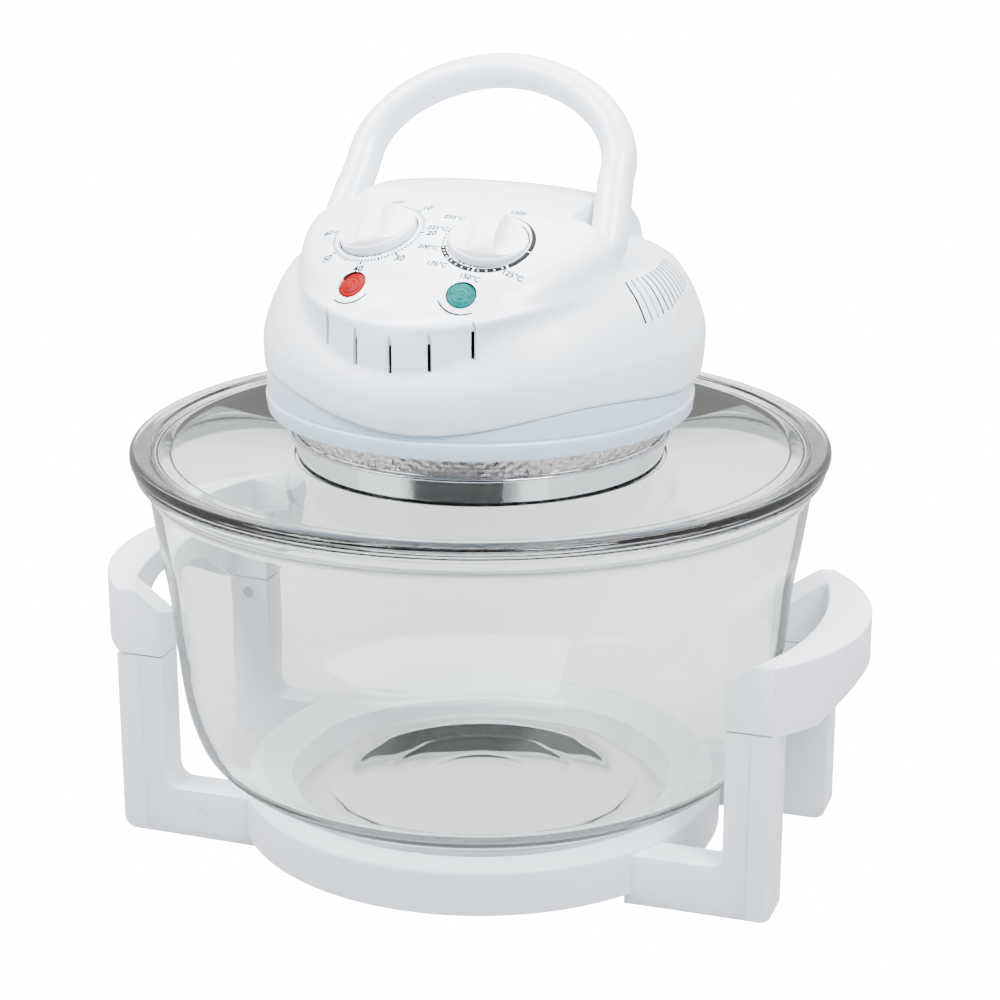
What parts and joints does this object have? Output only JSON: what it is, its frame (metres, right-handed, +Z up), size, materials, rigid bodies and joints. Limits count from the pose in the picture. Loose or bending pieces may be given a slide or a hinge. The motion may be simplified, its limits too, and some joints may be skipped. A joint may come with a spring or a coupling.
{
  "type": "halogen oven",
  "caption": "Countertop halogen oven: glass bowl in a white moulded stand with side handles, and a lift-off glass lid that carries the heater head with its dials and a fold-back carry handle.",
  "frame": {"origin": "on the table plane, under the axis of the glass bowl", "axes": "+Z up, -Y towards the front with the dials, +X to the right across the two side handles"},
  "size_m": [0.377, 0.33, 0.372],
  "materials": {
    "stand_plastic": "satin",
    "housing_plastic": "gloss",
    "knob_plastic": "gloss",
    "ring_plastic": "satin",
    "glass": "polished",
    "collar_chrome": "polished",
    "dimpled_foil": "dimpled",
    "reflector_metal": "polished",
    "steel": "plain",
    "motor_metal": "plain",
    "dark_plastic": "matte",
    "gland_rubber": "matte",
    "lamp_ceramic": "matte",
    "lamp_quartz": "clear",
    "red_lens": "clear gloss",
    "teal_lens": "clear gloss",
    "pilot_glass": "clear"
  },
  "bodies": {
    "stand": {"stand_frame": "stand_plastic", "left_side_handle": "stand_plastic", "right_side_handle": "stand_plastic", "leg_screw_1": "steel", "leg_screw_2": "steel", "leg_screw_3": "steel", "leg_screw_4": "steel"},
    "bowl": {"glass_bowl": "glass"},
    "head": {"glass_lid": "glass", "metal_collar": "collar_chrome", "heat_shield": "dimpled_foil", "reflector_dish": "reflector_metal", "guard_grille": "steel", "halogen_lamp": "lamp_quartz", "lamp_holder_left": "lamp_ceramic", "lamp_holder_right": "lamp_ceramic", "base_ring": "ring_plastic", "base_screw_1": "steel", "base_screw_2": "steel", "base_screw_3": "steel", "base_screw_4": "steel", "motor": "motor_metal", "terminal_block": "dark_plastic", "thermal_cutout": "steel", "safety_switch": "dark_plastic", "head_housing": "housing_plastic", "cord_gland": "gland_rubber", "red_lens": "red_lens", "teal_lens": "teal_lens", "indicator_lamp_left": "pilot_glass", "indicator_lamp_right": "pilot_glass", "timer_body": "motor_metal", "thermostat_body": "dark_plastic"},
    "carry_handle": {"carry_handle": "knob_plastic", "handle_pin_left": "steel", "handle_pin_right": "steel"},
    "timer_knob": {"timer_knob": "knob_plastic", "timer_spindle": "steel"},
    "temperature_knob": {"temperature_knob": "knob_plastic", "thermostat_spindle": "steel"},
    "fan": {"motor_shaft": "steel", "fan_impeller": "reflector_metal", "cooling_fan": "dark_plastic"}
  },
  "joints": [
    {"name": "bowl_lift", "type": "slide", "parent": "stand", "child": "bowl", "axis": [0, 0, 1], "range_m": [0, 0.13]},
    {"name": "lid_lift", "type": "slide", "parent": "bowl", "child": "head", "axis": [0, 0, 1], "range_m": [0, 0.15]},
    {"name": "handle_fold", "type": "hinge", "parent": "head", "child": "carry_handle", "pos_m": [-0.0007, -0.00998, 0.296], "axis": [0.9976, -0.0698, 0], "range_deg": [-28, 35]},
    {"name": "timer_turn", "type": "hinge", "parent": "head", "child": "timer_knob", "pos_m": [-0.03031, -0.05105, 0.30347], "axis": [-0.1737, -0.3134, 0.9336], "range_deg": [-285, 0]},
    {"name": "temperature_turn", "type": "hinge", "parent": "head", "child": "temperature_knob", "pos_m": [0.02291, -0.05478, 0.30347], "axis": [0.1284, -0.3346, 0.9336], "range_deg": [-312, 0]},
    {"name": "fan_spin", "type": "hinge", "parent": "head", "child": "fan", "pos_m": [0, 0, 0.235], "axis": [0, 0, 1], "continuous": true}
  ]
}
